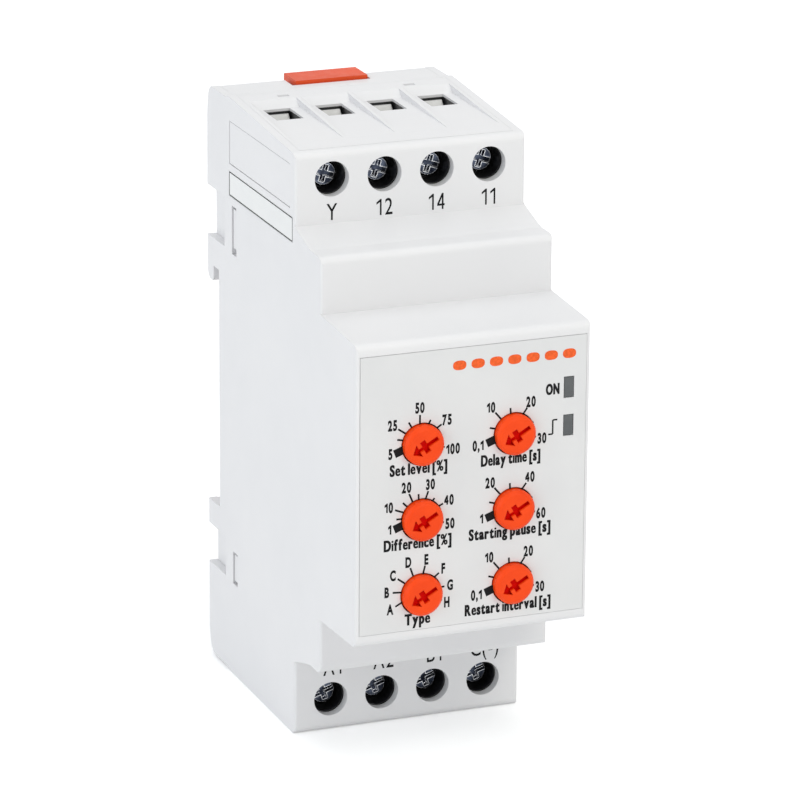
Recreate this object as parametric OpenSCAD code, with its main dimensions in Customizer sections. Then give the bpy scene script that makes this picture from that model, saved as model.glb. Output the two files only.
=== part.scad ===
// Control relay, two modules wide, for a 35 mm mounting rail.
// The front faces -Y, the rail side faces +Y, and it stands on its lower end.
// Depths (d) are counted from the rearmost plane towards the front.

/* [Housing] */
// Width over the side walls
body_w = 35.8; // [34.6:0.1:54]
// Height over the two terminal ends
body_h = 90; // [88:0.5:100]
// Thickness of the side walls
side_wall = 1.3; // [1:0.1:1.5]
// Thickness of the front walls
front_wall = 1.5; // [1.2:0.1:2]
// Play between the moulded parts
part_fit = 0.1; // [0.05:0.05:0.15]
// Play of the covers and the base between the side walls
side_fit = 0.02; // [0.01:0.01:0.1]
// Rearmost plane to the rail plane
rail_depth = 5; // [4.8:0.1:5.6]
// Rail plane to the terminal fronts
terminal_depth = 33; // [32:0.5:36]
// Rail plane to the shoulder fronts
shoulder_depth = 43.7; // [42:0.1:46]
// Rail plane to the dial panel
nose_depth = 58; // [56:0.5:64]
// Height of the nose with the dial panel
nose_h = 45.2; // [45:0.2:50]
// Height over the shoulders
shoulder_h = 63.2; // [62:0.2:65]
// Flare where a shoulder meets the terminal front
shoulder_flare = 1.8; // [0.5:0.1:2]
// Rounding of the cross edges at the front
edge_r = 1.2; // [0.6:0.1:1.4]
// Rounding of the upright edges at the front
side_r = 0.45; // [0.2:0.05:0.5]
// Fall of the upper end at its front edge
top_drop = 0.8; // [0:0.1:1]
// Rise of the upper end at its rear edge
top_rise = 1; // [0:0.1:1.2]
// Step down from the terminal ends to the rail block
rear_step = 0.4; // [0.2:0.1:0.8]

/* [Rail seat] */
// Height of the mounting rail
rail_h = 35; // [35:0.1:35.4]
// Grip of the fixed hooks behind the rail edge
hook_grip = 2; // [1.5:0.1:2.2]
// Thickness of the fixed hooks
hook_t = 2.6; // [2:0.1:2.8]
// Room above the rail edge in the hooks
hook_play = 0.4; // [0.2:0.1:0.6]
// Depth of the notches cut in the side walls
notch_d = 7.6; // [6:0.1:8]

/* [Rail clip] */
// Width of the sliding clip
clip_w = 11.3; // [10:0.1:13]
// Thickness of the clip's stem
clip_t = 2.2; // [1.8:0.1:2.4]
// Travel that frees the rail
clip_travel = 2.4; // [2:0.1:2.6]
// Play of the clip in its groove
clip_fit = 0.25; // [0.15:0.05:0.3]
// Radius of the clip spring's coil
spring_r = 2.2; // [2:0.1:2.4]
// Diameter of the spring wire
spring_wire = 0.6; // [0.4:0.1:0.7]
// Turns of the clip spring
spring_turns = 7; // [5:1:8]

/* [Side label] */
// Length of the label front to back
label_l = 27.4; // [20:0.1:27.6]
// Height of the label
label_h = 3.85; // [3:0.05:4]
// Thickness of the label
label_t = 0.12; // [0.08:0.01:0.15]

/* [Terminals] */
// Outer face of a side wall to the first terminal bay
end_space = 1.64; // [1.5:0.01:2]
// Distance from a screw axis to the end face
well_inset = 5; // [4.8:0.1:5.4]
// Diameter of the screwdriver wells
well_dia = 5.25; // [4.8:0.05:5.4]
// Terminal front to the screw heads
head_inset = 3.4; // [2.6:0.1:4]
// Diameter of the screw heads
head_dia = 4; // [3.8:0.1:4.4]
// Thread diameter of the terminal screws
thread_dia = 3; // [2.5:0.1:3]
// Width of the wire entries
entry_w = 4.2; // [4.2:0.05:4.4]
// Length of the wire entries front to back
entry_l = 6; // [5.8:0.1:6.2]
// Depth of the middle of the wire entries
entry_d = 17.7; // [17.5:0.1:17.9]
// Depth of the wire funnels under the nominal end face
funnel_d = 0.3; // [0.2:0.05:0.4]
// Length of a funnel in front of its wire entry
funnel_l = 12; // [8:0.5:13]
// Width of the clamp cages
cage_w = 6; // [5.9:0.1:6.2]
// Sheet thickness of the clamp cages
cage_t = 0.7; // [0.6:0.05:0.7]
// Width of the conductor bars
bar_w = 3.2; // [2.6:0.1:3.6]

/* [Dials] */
// Spacing of the two dial columns
dial_dx = 14.1; // [13:0.1:15]
// Spacing of the dial rows
dial_dz = 11.3; // [10.5:0.1:12]
// Sideways place of the dial group
dial_x = -0.8; // [-1.6:0.1:-0.4]
// Height of the middle dials against mid-height
dial_z = -4.2; // [-4.6:0.1:-3.4]
// Diameter of the adjuster knobs
knob_dia = 6; // [5.4:0.1:6.4]
// Length of the pointer cut in a knob
pointer_l = 4.4; // [4:0.1:4.6]
// Height of the knobs above the panel
knob_proud = 1.4; // [1:0.1:2]
// Running clearance round the knobs and shafts
knob_fit = 0.2; // [0.15:0.05:0.3]
// Thickness of the dial panel
panel_t = 0.4; // [0.3:0.05:0.5]
// Outer face of a side wall to the dial panel
panel_side = 0.6; // [0.6:0.1:1.4]
// Height of the dial panel
panel_h = 41.6; // [40:0.1:42]

/* [Inside] */
// Thickness of the circuit boards
board_t = 1.6; // [1.2:0.1:1.8]
// Depth of the rear face of the main board
board_d = 12; // [11.8:0.1:12.2]
// Thickness of the rear base's skin
base_t = 1.4; // [1.2:0.1:1.5]
// Width of the relay's cover
relay_w = 16.4; // [16:0.1:17]
// Length of the relay's cover
relay_l = 23.8; // [23:0.1:24]
// Height of the relay's cover
relay_h = 15; // [14.9:0.1:15.4]
// Diameter of the relay's winding
coil_dia = 8.6; // [7:0.1:9]
// Width of the transformer's core
core_w = 23; // [22:0.5:24]
// Height of the transformer's core
core_h = 18.5; // [18:0.1:19]
// Thickness of the transformer's core
core_t = 12; // [11:0.5:13]
// Diameter of the capacitor
cap_dia = 8; // [6:0.5:8]

/* [Hidden] */

white = [0.91, 0.92, 0.92];
black = [0.06, 0.06, 0.07];
orange = [1.0, 0.33, 0.13];
steel = [0.62, 0.64, 0.68];
copper = [0.78, 0.47, 0.25];
green = [0.12, 0.36, 0.22];

zc = body_h / 2;
d_term = rail_depth + terminal_depth;
d_sh = rail_depth + shoulder_depth;
d_nose = rail_depth + nose_depth;
y_rear = (d_nose + knob_proud) / 2;
half_in = body_w / 2 - side_wall;
base_half = half_in - side_fit;
pitch = (body_w - 2 * end_space) / 4;
panel_w = body_w - 2 * panel_side;

// rear edge levels, all counted from the rail's own edges
rail_top = zc + rail_h / 2;
rail_low = zc - rail_h / 2;
hook_tip = rail_top - hook_grip;
slot_top = rail_top + hook_play;
hook_top = rail_top + 4.8;
notch_top = rail_top + 12.6;
lip_top = rail_low - 2.35;
lip_low = rail_low - 6.3;
notch_low = rail_low - 12.5;
step_d = 9.2;
rear_set = 0.3;
corner_h = 3.8;

// snap windows that hold the rear base in the side walls
latch_d = board_d - 1.1;
latch_l = 2;
latch_low = notch_low - 0.2;
latch_high = notch_top - 0.6;

// terminal chambers
cover_d = step_d + 0.7;
inner_front = d_term - front_wall;
well_z = body_h - well_inset;
block_half = base_half - 0.6;
block_top = body_h - 2.1;
entry_rear = entry_d - entry_l / 2;
entry_front = entry_d + entry_l / 2;
cover_low = block_top + part_fit;
lid_top = body_h - 0.75;
lid_low = lid_top + part_fit / 2;
lid_front = entry_front + 0.9;
block_low = well_z - 6.1;
floor_z = well_z - 4.6;
cage_low = floor_z + 1;
cage_high = well_z + 2.2;
head_face = d_term - head_inset;
head_t = 1.7;
seat_d = head_face - head_t - part_fit;
bar_d = entry_front + 0.2;
bar_t = 1.2;
guide_top = lid_top - 0.3;
guide_rear = entry_rear + 0.1;
wire_rear = entry_rear + 1.4;
cage_rear = wire_rear - 1;
cage_front = bar_d + bar_t + 4.3;
chamber_front = seat_d - 1.7;
bar_low = block_low - 6.4;
board_top = bar_low + 3;
board_low = body_h - board_top;
window_low = zc + shoulder_h / 2 + 4.1;
window_top = body_h - 2.7;
label_d = cover_d - 0.2;
label_low = window_low - 1.1 - label_h;
label_sink = 0.03;

// dials and front board
knob_face = d_nose + knob_proud;
knob_back = d_nose - 2.8;
fboard_front = d_nose - 9.4;
trim_front = fboard_front + 4.7;
trim_collar = knob_back - 0.7;
shaft_r = 1.5;
dial_turn = 210;
led_x = panel_w / 2 - 2.67;
led_z = [zc + 13.15, zc + 7.45];
guide_w = 1.4;
guide_h = 3;

// rail clip
groove = clip_w + 2 * clip_fit;
flange_w = clip_w + 1.8;
flange_groove = flange_w + 2 * clip_fit;
channel_w = flange_groove + 2.6;
stem_d = rail_depth + 0.3;
stem_front = stem_d + clip_t;
groove_d = stem_front + clip_fit;
upper_d = 2.4;
upper_front = 4.6;
web_low = rail_top + clip_travel + 0.5;
web_top = web_low + 2.6;
foot_low = rail_low - 5.5;
foot_top = rail_low - 0.1;
pocket_low = 9.6;
spring_d = 4.2;
tab_t = 1.5;
tab_front = upper_front + 0.6;
tab_low = body_h + top_rise + 0.15 - tab_t;
recess_low = tab_low - clip_travel - 0.2;

function arc(cd, cz, r, a0, a1, n) =
    [for (i = [0:n]) let (a = a0 + (a1 - a0) * i / n) [cd + r * cos(a), cz + r * sin(a)]];
function to_y(pts) = [for (p = pts) [y_rear - p[0], p[1]]];
function upended(pts) = [for (i = [len(pts) - 1:-1:0]) [pts[i][0], body_h - pts[i][1]]];
function end_line(d, rise, drop) =
    body_h + rise - (rise + drop) * (d - step_d) / (d_term - edge_r - step_d);
function column(i) = (i - 1.5) * pitch;

// profile drawn as depth and height, extruded across the width from x0 to x1
module profile(x0, x1, pts) {
    translate([x0, 0, 0])
        rotate([90, 0, 90])
            linear_extrude(x1 - x0)
                polygon(to_y(pts));
}

module box(x0, x1, d0, d1, z0, z1) {
    translate([x0, y_rear - d1, z0])
        cube([x1 - x0, d1 - d0, z1 - z0]);
}

// round bar along the depth
module rod(x, z, d0, d1, r, fn = 40) {
    translate([x, y_rear - d0, z])
        rotate([90, 0, 0])
            cylinder(h = d1 - d0, r = r, $fn = fn);
}

// turned part along the depth, given as radius and depth
module turned(x, z, pts, fn = 40) {
    translate([x, y_rear, z])
        rotate([90, 0, 0])
            rotate_extrude($fn = fn)
                polygon(pts);
}

module both_sides() {
    children();
    mirror([1, 0, 0])
        children();
}

module upside_down() {
    translate([0, 0, body_h])
        mirror([0, 0, 1])
            children();
}

// one half of the front outline, its heights counted from the end face
function front_half(rise, drop) = concat(
    [[step_d - 0.4, rear_step - rise], [step_d, -rise]],
    arc(d_term - edge_r, drop + edge_r, edge_r, -90, 0, 6),
    [for (t = [0:0.25:1])
        [d_term + 6.6 * t, zc - shoulder_h / 2 - shoulder_flare * pow(1 - t, 1.15)]],
    arc(d_sh - edge_r, zc - shoulder_h / 2 + edge_r, edge_r, -90, 0, 6),
    [[d_sh, zc - nose_h / 2 - 0.6]],
    arc(d_nose - edge_r, zc - nose_h / 2 + edge_r, edge_r, -90, 0, 6)
);

function rear_corner(o, rise = 0) =
    [[o + 1.7, rear_step - rise], [o + 0.9, rear_step + 0.6 - rise],
     [o + 0.35, rear_step + 1.9 - rise], [o, rear_step + corner_h]];

function hook_edge(o) =
    [[o, hook_tip + 1.2], [o + 0.4, hook_tip + 0.35], [o + 1.1, hook_tip],
     [hook_t - 0.4, hook_tip], [hook_t, hook_tip + 0.5], [hook_t, slot_top],
     [rail_depth, slot_top], [rail_depth, lip_top], [o, lip_top]];

shell_outline = concat(
    front_half(0, 0),
    upended(front_half(top_rise, top_drop)),
    [for (p = rear_corner(0, top_rise)) [p[0], body_h - p[1]]],
    [[0, notch_top], [notch_d, notch_top], [notch_d, hook_top], [0, hook_top]],
    hook_edge(0),
    [[0, lip_low], [notch_d, lip_low], [notch_d, notch_low], [0, notch_low]],
    [for (i = [3:-1:0]) rear_corner(0)[i]]
);

shell_cavity = concat(
    [[-2, -2], [inner_front, -2], [inner_front, zc - shoulder_h / 2 + front_wall],
     [d_sh - front_wall, zc - shoulder_h / 2 + front_wall],
     [d_sh - front_wall, zc - nose_h / 2 + front_wall],
     [d_nose - front_wall, zc - nose_h / 2 + front_wall]],
    [[d_nose - front_wall, zc + nose_h / 2 - front_wall],
     [d_sh - front_wall, zc + nose_h / 2 - front_wall],
     [d_sh - front_wall, zc + shoulder_h / 2 - front_wall],
     [inner_front, zc + shoulder_h / 2 - front_wall],
     [inner_front, body_h + 2], [-2, body_h + 2]]
);

// plan outline that rounds the upright front edges
module plan(df, z0, z1) {
    pts = concat(
        [[body_w / 2, -1]],
        arc(body_w / 2 - side_r, df - side_r, side_r, 0, 90, 4),
        arc(side_r - body_w / 2, df - side_r, side_r, 90, 180, 4),
        [[-body_w / 2, -1]]);
    translate([0, 0, z0])
        linear_extrude(z1 - z0)
            polygon([for (p = pts) [p[0], y_rear - p[1]]]);
}

module side_openings() {
    both_sides() {
        box(half_in - 1, body_w / 2 + 1, cover_d, inner_front - 0.5, window_low, window_top);
        box(half_in - 1, body_w / 2 + 1, latch_d, latch_d + latch_l, hook_top - 0.3, latch_high);
        box(half_in - 1, body_w / 2 + 1, latch_d, latch_d + latch_l, latch_low, lip_low - 1.25);
    }
}

module label_recess() {
    box(-body_w / 2 - 1, label_sink + label_t - body_w / 2, label_d, label_d + label_l,
        label_low, label_low + label_h);
}

module board_posts() {
    for (s = [-1, 1])
        both_sides()
            box(half_in - 2, half_in + 0.2, fboard_front + 0.05, d_nose - front_wall + 0.1,
                zc + s * 18.6 - 1, zc + s * 18.6 + 1);
}

module housing_shell() {
    color(white)
    difference() {
        union() {
            difference() {
                intersection() {
                    profile(-body_w / 2, body_w / 2, shell_outline);
                    union() {
                        plan(d_term, -1, body_h + top_rise + 1);
                        plan(d_sh, zc - shoulder_h / 2 - shoulder_flare - 0.1,
                             zc + shoulder_h / 2 + shoulder_flare + 0.1);
                        plan(d_nose, zc - nose_h / 2 - 0.7, zc + nose_h / 2 + 0.7);
                    }
                }
                profile(-half_in, half_in, shell_cavity);
            }
            board_posts();
        }
        side_openings();
        label_recess();
        for (i = [0:3])
            for (z = [well_inset, well_z])
                rod(column(i), z, inner_front - 1, d_term + 1, well_dia / 2, 48);
        for (p = dial_places)
            rod(p[0], p[1], d_nose - front_wall - 1, d_nose + 1, knob_dia / 2 + knob_fit, 48);
        for (z = led_z)
            box(led_x - guide_w / 2 - 0.1, led_x + guide_w / 2 + 0.1,
                d_nose - front_wall - 1, d_nose + 1, z - guide_h / 2 - 0.1, z + guide_h / 2 + 0.1);
        box(-panel_w / 2 - 0.05, panel_w / 2 + 0.05, d_nose - panel_t + 0.05, d_nose + 1,
            zc - panel_h / 2 - 0.05, zc + panel_h / 2 + 0.05);
    }
}

dial_places = [
    for (row = [1:-1:-1])
        for (side = [-1, 1])
            [dial_x + side * dial_dx / 2, zc + dial_z + row * dial_dz]
];

base_front = cover_d - side_fit;
base_outline = concat(
    [[step_d - 0.4, rear_step], [step_d, 0], [base_front, 0], [base_front, board_low - 1.5],
     [board_d, board_low - 1.5], [board_d, board_top + 1.5], [base_front, board_top + 1.5],
     [base_front, end_line(base_front, top_rise, top_drop)], [step_d, body_h + top_rise],
     [step_d - 0.4, body_h + top_rise - rear_step]],
    [for (p = rear_corner(rear_set, top_rise)) [p[0], body_h - p[1]]],
    hook_edge(rear_set),
    [for (i = [3:-1:0]) rear_corner(rear_set)[i]]
);

base_cavity = [
    [board_d + 2, rear_step + base_t], [rear_set + 3.1, rear_step + base_t],
    [rear_set + base_t, rear_step + 5], [rear_set + base_t, lip_top - base_t],
    [rail_depth + base_t, lip_top - base_t], [rail_depth + base_t, slot_top + base_t],
    [rear_set + base_t, slot_top + base_t],
    [rear_set + base_t, body_h + top_rise - rear_step - 5],
    [rear_set + 3.1, body_h + top_rise - rear_step - base_t],
    [board_d + 2, body_h + top_rise - rear_step - base_t]
];

module rear_base() {
    color(white)
    difference() {
        union() {
            difference() {
                profile(-base_half, base_half, base_outline);
                profile(-base_half + base_t, base_half - base_t, base_cavity);
            }
            intersection() {
                profile(-channel_w / 2, channel_w / 2, base_outline);
                union() {
                    box(-channel_w, channel_w, 0, groove_d + 1.3, pocket_low - 1.4, web_top + 2);
                    box(-channel_w, channel_w, 0, tab_front + 1.4, web_top, body_h + top_rise);
                }
            }
            both_sides() {
                for (z = [board_low + 0.5, board_top - 2.5])
                    box(base_half - 3.5, base_half - base_t + 0.1, cover_d - 4, board_d, z, z + 2);
                box(base_half - base_t, base_half, cover_d - 1, latch_d + latch_l + 0.3,
                    hook_top + 0.1, latch_high - 0.3);
                box(base_half - 0.2, body_w / 2 - 0.2, latch_d + 0.2, latch_d + latch_l - 0.2,
                    hook_top + 0.7, latch_high - 0.5);
                box(base_half - base_t, base_half, cover_d - 1, latch_d + latch_l + 0.3,
                    latch_low + 0.5, lip_low - 1.7);
                box(base_half - 0.2, body_w / 2 - 0.2, latch_d + 0.2, latch_d + latch_l - 0.2,
                    latch_low + 0.5, lip_low - 1.7);
            }
        }
        difference() {
            box(-groove / 2, groove / 2, -1, groove_d, pocket_low, web_top + 0.6);
            translate([0, y_rear - spring_d, pocket_low - 0.1])
                cylinder(h = 2.5, r = spring_r - spring_wire / 2 - 0.3, $fn = 32);
        }
        box(-flange_groove / 2, flange_groove / 2, groove_d - 1.5, groove_d, rail_low, zc + 12.1);
        box(-groove / 2, groove / 2, -1, upper_front + 0.3, web_top, tab_low + tab_t + 1);
        box(-groove / 2 - 0.35, groove / 2 + 0.35, -1, tab_front + 0.3, recess_low,
            tab_low + tab_t + 1);
    }
}

// moulded end cover with a funnel over each wire entry
module terminal_cover(rise, drop, pads) {
    front = inner_front - part_fit;
    funnel_rear = entry_rear - 1.8;
    funnel_end = entry_front + funnel_l;
    difference() {
        union() {
            profile(-base_half, base_half,
                [[cover_d, lid_low], [lid_front + part_fit, lid_low],
                 [lid_front + part_fit, cover_low], [front, cover_low],
                 [front, end_line(front, rise, drop)], [cover_d, end_line(cover_d, rise, drop)]]);
            if (pads)
                both_sides() {
                    box(base_half - 0.5, base_half, cover_d + part_fit, inner_front - 0.6,
                        window_low + 0.1, cover_low + 0.1);
                    box(base_half - 0.5, base_half, cover_d + part_fit, lid_front + 1,
                        cover_low, lid_low + 0.1);
                    box(base_half - 0.5, body_w / 2 - 0.05, cover_d + part_fit,
                        inner_front - 0.5 - part_fit, window_low + part_fit, window_top - part_fit);
                }
        }
        for (i = [0:3]) {
            x = column(i);
            profile(x - pitch / 2 + 0.32, x + pitch / 2 - 0.32,
                [[entry_rear - 0.1, body_h - funnel_d],
                 [funnel_end, end_line(funnel_end, rise, drop)], [funnel_end, body_h + 3],
                 [funnel_rear, body_h + 3], [funnel_rear, end_line(funnel_rear, rise, drop)]]);
            box(x - entry_w / 2, x + entry_w / 2, entry_rear, entry_front, lid_low - 1, body_h + 3);
        }
        if (pads)
            both_sides()
                box(9.1, 10.9, cover_d + 1.4, cover_d + 2.2, end_line(cover_d + 2, rise, drop) - 0.4,
                    body_h + 3);
    }
}

module terminal_cover_top() {
    color(white)
        terminal_cover(top_rise, top_drop, true);
}

module terminal_cover_bottom() {
    color(white)
        upside_down()
            terminal_cover(0, 0, false);
}

// black carrier with four clamp chambers, its lid raised to the wire entries
module terminal_block() {
    difference() {
        profile(-block_half, block_half,
            [[board_d + 0.4, block_low], [inner_front - 0.2, block_low],
             [inner_front - 0.2, block_top], [lid_front, block_top], [lid_front, lid_top],
             [board_d + 0.4, lid_top]]);
        for (i = [0:3]) {
            x = column(i);
            profile(x - cage_w / 2 - 0.1, x + cage_w / 2 + 0.1,
                [[cage_rear - 0.6, floor_z], [chamber_front, floor_z], [chamber_front, body_h],
                 [lid_front + 0.2, body_h], [lid_front + 0.2, cage_high + 0.4],
                 [cage_rear - 0.6, cage_high + 0.4]]);
            box(x - entry_w / 2, x + entry_w / 2, entry_rear, entry_front, cage_high, body_h);
            rod(x, well_z, seat_d, d_term, well_dia / 2 - 0.12, 48);
            rod(x, well_z, chamber_front - 1, seat_d + 1, thread_dia / 2 + 0.15, 32);
            box(x - bar_w / 2 - 0.15, x + bar_w / 2 + 0.15, bar_d - 0.2, bar_d + bar_t + 0.2,
                block_low - 1, floor_z + 1);
        }
        box(-block_half + 2, block_half - 2, chamber_front - 8, seat_d - 2.4, block_low - 1,
            block_low + 0.8);
    }
}

module terminal_block_top() {
    color(black)
        terminal_block();
}

module terminal_block_bottom() {
    color(black)
        upside_down()
            terminal_block();
}

module terminal_screw(x) {
    r = thread_dia / 2;
    h = head_dia / 2;
    tip = bar_d + bar_t + 0.05;
    back = head_face - head_t;
    difference() {
        turned(x, well_z,
            [[0, tip], [r - 0.5, tip], [r, tip + 0.6], [r, back], [h, back],
             [h, head_face - 0.35], [h - 0.3, head_face], [0, head_face]], 36);
        translate([x, 0, well_z])
            rotate([0, 18, 0])
                translate([-x, 0, -well_z])
                    union() {
                        box(x - h - 1, x + h + 1, head_face - 0.9, head_face + 1,
                            well_z - 0.4, well_z + 0.4);
                        box(x - 0.4, x + 0.4, head_face - 0.9, head_face + 1,
                            well_z - 1.3, well_z + 1.3);
                    }
    }
}

// bent clamp cage: a ring seen from the end, tapped for the screw, with a lip that leads the wire in
module clamp_cage(x) {
    function ring(hw, d0, d1, r) = concat(
        arc(hw - r, d1 - r, r, 0, 90, 4), arc(r - hw, d1 - r, r, 90, 180, 4),
        arc(r - hw, d0 + r, r, 180, 270, 4), arc(hw - r, d0 + r, r, 270, 360, 4));
    difference() {
        union() {
            translate([x, 0, cage_low])
                linear_extrude(cage_high - cage_low)
                    difference() {
                        polygon([for (p = ring(cage_w / 2, cage_rear, cage_front, 0.9))
                            [p[0], y_rear - p[1]]]);
                        polygon([for (p = ring(cage_w / 2 - cage_t, wire_rear, cage_front - 1.8, 0.3))
                            [p[0], y_rear - p[1]]]);
                    }
            profile(x - entry_w / 2 + 0.35, x + entry_w / 2 - 0.35,
                [[guide_rear, guide_top], [guide_rear + 0.3, guide_top],
                 [wire_rear, guide_top - 1], [wire_rear, cage_high - 0.9],
                 [wire_rear - 0.5, cage_high - 0.9], [wire_rear - 0.5, guide_top - 1.15],
                 [guide_rear, guide_top - 0.4]]);
        }
        rod(x, well_z, cage_front - 3, cage_front + 1, thread_dia / 2 + 0.05, 36);
    }
}

module contact_bars() {
    for (i = [0:3])
        profile(column(i) - bar_w / 2, column(i) + bar_w / 2,
            [[bar_d, cage_high - 0.2], [bar_d + bar_t, cage_high - 0.2],
             [bar_d + bar_t, bar_low], [board_d + board_t + 0.05, bar_low],
             [board_d + board_t + 0.05, bar_low + bar_t], [bar_d, bar_low + bar_t]]);
}

// printed front sheet with cut-outs for the knobs and the lamps
module dial_panel() {
    color([0.87, 0.87, 0.86])
    difference() {
        box(-panel_w / 2, panel_w / 2, d_nose - panel_t + 0.05, d_nose + 0.05,
            zc - panel_h / 2, zc + panel_h / 2);
        for (p = dial_places)
            rod(p[0], p[1], d_nose - 1, d_nose + 1, knob_dia / 2 + knob_fit, 48);
        for (z = led_z)
            box(led_x - guide_w / 2 - 0.1, led_x + guide_w / 2 + 0.1, d_nose - 1, d_nose + 1,
                z - guide_h / 2 - 0.1, z + guide_h / 2 + 0.1);
    }
}

module light_guide() {
    color([0.45, 0.47, 0.48])
    union() {
        for (z = led_z)
            box(led_x - guide_w / 2, led_x + guide_w / 2, fboard_front + 1.3, d_nose,
                z - guide_h / 2, z + guide_h / 2);
        box(led_x - guide_w / 2 - 0.4, led_x + guide_w / 2, d_nose - front_wall - 1.6,
            d_nose - front_wall - 0.1, led_z[1] - guide_h / 2 - 0.5, led_z[0] + guide_h / 2 + 0.5);
    }
}

// bare adhesive label in its recess
module side_label() {
    color([0.87, 0.87, 0.86])
        box(label_sink - body_w / 2, label_sink + label_t - body_w / 2, label_d + 0.05,
            label_d + label_l - 0.05, label_low + 0.05, label_low + label_h - 0.05);
}

module led(i) {
    color([0.9, 0.9, 0.8])
        box(led_x - 0.8, led_x + 0.8, fboard_front + 0.02, fboard_front + 1.1,
            led_z[i] - 1.2, led_z[i] + 1.2);
}

// arrow with a cross bar, drawn along x
module pointer() {
    tip = pointer_l / 2;
    side = [[tip, 0], [tip - 1.15, 1.05], [tip - 1.15, 0.3], [0.45, 0.3], [0.45, 1],
            [-0.4, 1], [-0.4, 0.34], [-tip, 0.34]];
    polygon(concat(side, [for (i = [len(side) - 1:-1:1]) [side[i][0], -side[i][1]]]));
}

// adjuster knob with a pointer cut in its face, drawn at the start of its scale
module knob(i) {
    x = dial_places[i][0];
    z = dial_places[i][1];
    r = knob_dia / 2;
    color(orange)
    difference() {
        turned(x, z,
            [[0, fboard_front + 0.7], [shaft_r, fboard_front + 0.7], [shaft_r, knob_back],
             [r, knob_back], [r, knob_face - 0.5], [r - 0.35, knob_face - 0.12],
             [r - 0.6, knob_face], [0, knob_face]], 48);
        translate([x, y_rear - knob_face + 0.8, z])
            rotate([90, 0, 0])
                linear_extrude(2)
                    rotate(dial_turn)
                        pointer();
    }
}

module trimmer(i) {
    x = dial_places[i][0];
    z = dial_places[i][1];
    color([0.16, 0.24, 0.42])
    difference() {
        union() {
            box(x - 3.4, x + 3.4, fboard_front + 0.02, trim_front, z - 3.4, z + 3.4);
            rod(x, z, trim_front - 0.5, trim_collar, 2.6, 36);
        }
        rod(x, z, fboard_front + 0.6, trim_collar + 1, shaft_r + 0.05, 36);
    }
}

module front_board() {
    color(green)
        box(-half_in + 0.8, half_in - 0.8, fboard_front - board_t, fboard_front,
            zc - nose_h / 2 + 2.6, zc + nose_h / 2 - 2.6);
}

module main_board() {
    color(green)
        box(-base_half + base_t + 0.2, base_half - base_t - 0.2, board_d + 0.02,
            board_d + board_t, board_low, board_top);
}

link_x = half_in - 4;

module link_board() {
    color(green)
        box(link_x, link_x + board_t, board_d + board_t + 0.05, fboard_front - board_t - 0.05,
            zc - 12, zc + 12);
}

rx = relay_w / 2 + 1.8 - half_in;
rz = bar_low - 14;
rd = board_d + board_t + 0.05;
coil_d = rd + 6.9;
relay_low = rz + 13 - relay_l;

module relay_base() {
    color([0.12, 0.12, 0.14])
    difference() {
        box(rx - relay_w / 2 + 0.8, rx + relay_w / 2 - 0.8, rd, rd + 1.4, relay_low + 0.9, rz + 12);
        both_sides_at(rx)
            box(rx + 5, rx + 6.4, rd - 1, rd + 0.5, rz - 8, rz + 10);
    }
}

module both_sides_at(x) {
    children();
    translate([2 * x, 0, 0])
        mirror([1, 0, 0])
            children();
}

// bobbin with its winding and iron core
module relay_coil() {
    color([0.62, 0.25, 0.12])
    translate([rx, y_rear - coil_d, rz - 6.6])
        union() {
            cylinder(h = 13, r = coil_dia / 2, $fn = 40);
            for (z = [0, 12])
                translate([-5, -4.8, z])
                    cube([10, 10, 1]);
            cylinder(h = 14.6, r = 1.6, $fn = 32);
        }
}

module relay_yoke() {
    color(steel)
        profile(rx - 4.6, rx + 4.6,
            [[rd + 1.45, rz - 8], [rd + 13, rz - 8], [rd + 13, rz + 8.2], [rd + 11.8, rz + 8.2],
             [rd + 11.8, rz - 6.7], [rd + 1.45, rz - 6.7]]);
}

module relay_armature() {
    color(steel)
        box(rx - 4.5, rx + 4.5, rd + 5.4, rd + 13.3, rz + 8.55, rz + 9.75);
}

module relay_spring() {
    color(copper)
    union() {
        box(rx - 1.5, rx + 1.5, rd + 2.2, rd + 10, rz + 9.78, rz + 10.08);
        translate([rx, y_rear - rd - 3.3, rz + 9.2])
            cylinder(h = 1.4, r = 0.9, $fn = 24);
    }
}

module relay_contacts() {
    color(copper)
    for (z = [[7.2, 7.7, 8.4], [11.2, 11.7, 10.7]]) {
        box(rx - 1.5, rx + 1.5, rd + 1.42, rd + 4.4, rz + z[0], rz + z[1]);
        translate([rx, y_rear - rd - 3.3, rz + min(z[0], z[2])])
            cylinder(h = abs(z[2] - z[0]), r = 0.8, $fn = 24);
    }
}

module relay_cover() {
    color([0.75, 0.78, 0.8])
    difference() {
        box(rx - relay_w / 2, rx + relay_w / 2, rd + 0.3, rd + 0.3 + relay_h, relay_low, rz + 13);
        box(rx - relay_w / 2 + 0.7, rx + relay_w / 2 - 0.7, rd - 1, rd + relay_h - 0.4,
            relay_low + 0.7, rz + 12.3);
    }
}

tx = -1.5;
tz = body_h - bar_low + 10.7;
limb = 3.6;
coil_x = core_w / 2 - 3.7;
coil_z = core_t / 2 + 4;

// laminated core with two windows
module transformer_core() {
    color([0.45, 0.45, 0.48])
    difference() {
        box(tx - core_w / 2, tx + core_w / 2, rd, rd + core_h, tz - core_t / 2, tz + core_t / 2);
        both_sides_at(tx)
            box(tx + limb, tx + core_w / 2 - 3.5, rd + 3.4, rd + core_h - 3.4,
                tz - core_t, tz + core_t);
    }
}

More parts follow.
